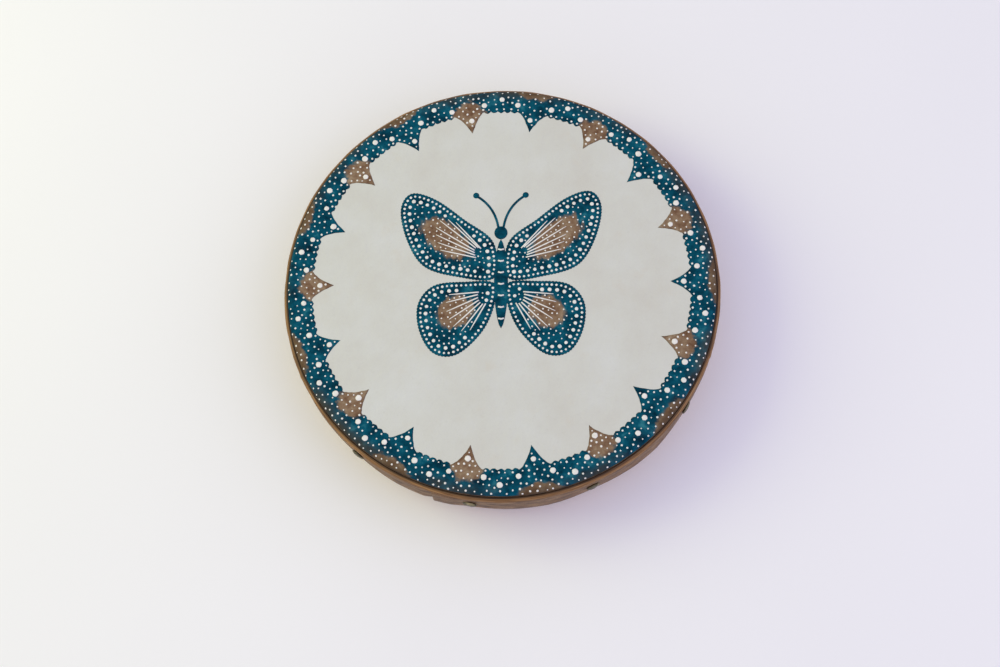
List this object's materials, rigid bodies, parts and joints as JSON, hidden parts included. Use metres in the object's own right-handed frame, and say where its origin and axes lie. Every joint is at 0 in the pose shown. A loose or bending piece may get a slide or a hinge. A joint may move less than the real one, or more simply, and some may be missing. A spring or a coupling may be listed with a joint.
{
  "type": "frame drum",
  "caption": "Round hand-held frame drum: bent-wood shell, painted hide head lapped down the side, cane ring, binding strip and dome-headed tacks.",
  "frame": {"origin": "centre of the shell's back edge, in the plane the drum lies on", "axes": "+Z out of the playing face, along the drum's axis; +Y towards the top of the painted motif; +X to its right"},
  "size_m": [0.2508, 0.2496, 0.045],
  "materials": {
    "shell_wood": "bent hardwood hoop, plain grain running around it, thin matt oil finish",
    "goatskin": "pale rawhide, faint mottling and grain, painted border and butterfly in teal, brown and cream",
    "cane": "split cane, golden to orange-brown, fine fibres along its length",
    "binding": "brown hide strip, uneven cut edges, streaked and worn",
    "tack_brass": "old brass tack, dark and dull with tarnish"
  },
  "bodies": {
    "root": {"shell": "shell_wood", "drumhead": "goatskin", "cane_ring": "cane", "binding_strip": "binding", "tack_01": "tack_brass", "tack_02": "tack_brass", "tack_03": "tack_brass", "tack_04": "tack_brass", "tack_05": "tack_brass", "tack_06": "tack_brass", "tack_07": "tack_brass", "tack_08": "tack_brass", "tack_09": "tack_brass", "tack_10": "tack_brass", "tack_11": "tack_brass"}
  },
  "joints": []
}
